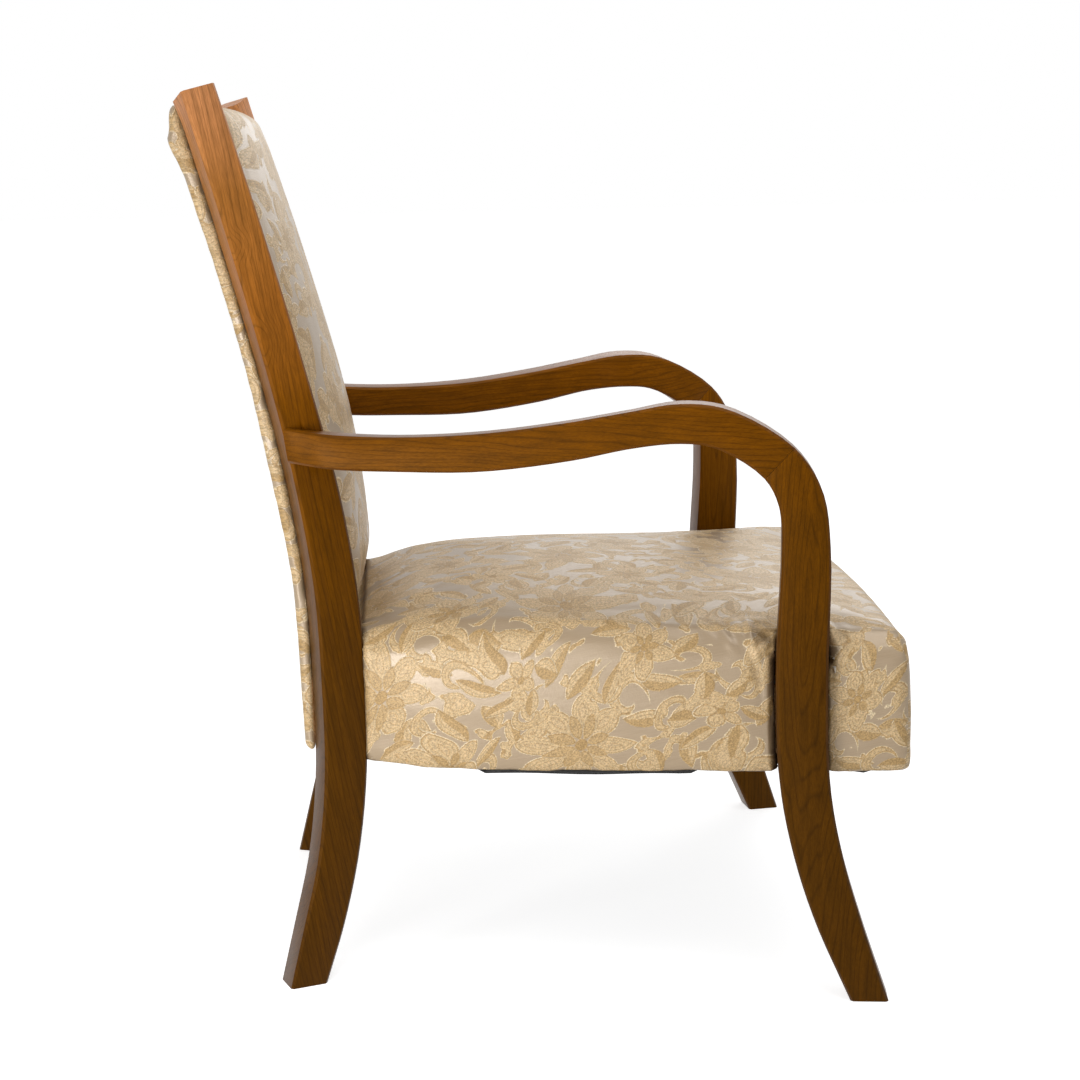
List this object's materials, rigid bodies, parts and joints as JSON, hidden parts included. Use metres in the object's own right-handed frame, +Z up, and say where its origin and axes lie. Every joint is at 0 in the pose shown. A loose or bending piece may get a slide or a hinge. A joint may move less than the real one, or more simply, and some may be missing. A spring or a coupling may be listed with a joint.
{
  "type": "armchair",
  "caption": "Open-arm easy chair with sabre legs, arms that sweep down into the front legs, a sprung seat and a padded back in floral brocade.",
  "frame": {"origin": "middle of the footprint's bounding box, on the floor", "axes": "+Z up, the sitter faces -Y, +X to the sitter's left; the chair is the same on both sides of X = 0"},
  "size_m": [0.666, 0.7004, 0.8793],
  "materials": {
    "show_wood": "walnut-brown hardwood under satin varnish",
    "frame_wood": "bare planed beech",
    "steel": "bright steel wire and screws",
    "webbing": "woven jute",
    "wadding": "cotton felt over foam",
    "brocade": "champagne satin ground with a woven floral figure in pale gold",
    "lining": "black plain-woven lining"
  },
  "bodies": {
    "root": {"arm_screw_left": "steel", "arm_screw_right": "steel", "armrest_left": "show_wood", "armrest_right": "show_wood", "back_cover": "brocade", "back_low_rail": "frame_wood", "back_padding": "wadding", "back_screw_left": "steel", "back_screw_right": "steel", "back_stile_left": "frame_wood", "back_stile_right": "frame_wood", "back_top_rail": "frame_wood", "back_webbing_1": "webbing", "back_webbing_2": "webbing", "back_webbing_3": "webbing", "dust_cover": "lining", "front_corner_block_left": "frame_wood", "front_corner_block_right": "frame_wood", "front_leg_left": "show_wood", "front_leg_right": "show_wood", "front_rail": "frame_wood", "knee_dowel_1_left": "frame_wood", "knee_dowel_1_right": "frame_wood", "knee_dowel_2_left": "frame_wood", "knee_dowel_2_right": "frame_wood", "leg_bolt_1_left": "steel", "leg_bolt_1_right": "steel", "leg_bolt_2_left": "steel", "leg_bolt_2_right": "steel", "outside_back": "brocade", "rail_dowel_1_left": "frame_wood", "rail_dowel_1_right": "frame_wood", "rail_dowel_2_left": "frame_wood", "rail_dowel_2_right": "frame_wood", "rear_corner_block_left": "frame_wood", "rear_corner_block_right": "frame_wood", "rear_leg_left": "show_wood", "rear_leg_right": "show_wood", "rear_rail": "frame_wood", "seat_cover": "brocade", "seat_hessian": "webbing", "seat_padding": "wadding", "seat_spring_1_1": "steel", "seat_spring_1_2": "steel", "seat_spring_1_3": "steel", "seat_spring_2_1": "steel", "seat_spring_2_2": "steel", "seat_spring_2_3": "steel", "seat_spring_3_1": "steel", "seat_spring_3_2": "steel", "seat_spring_3_3": "steel", "side_rail_left": "frame_wood", "side_rail_right": "frame_wood", "webbing_cross_1": "webbing", "webbing_cross_2": "webbing", "webbing_cross_3": "webbing", "webbing_long_1": "webbing", "webbing_long_2": "webbing", "webbing_long_3": "webbing"}
  },
  "joints": []
}
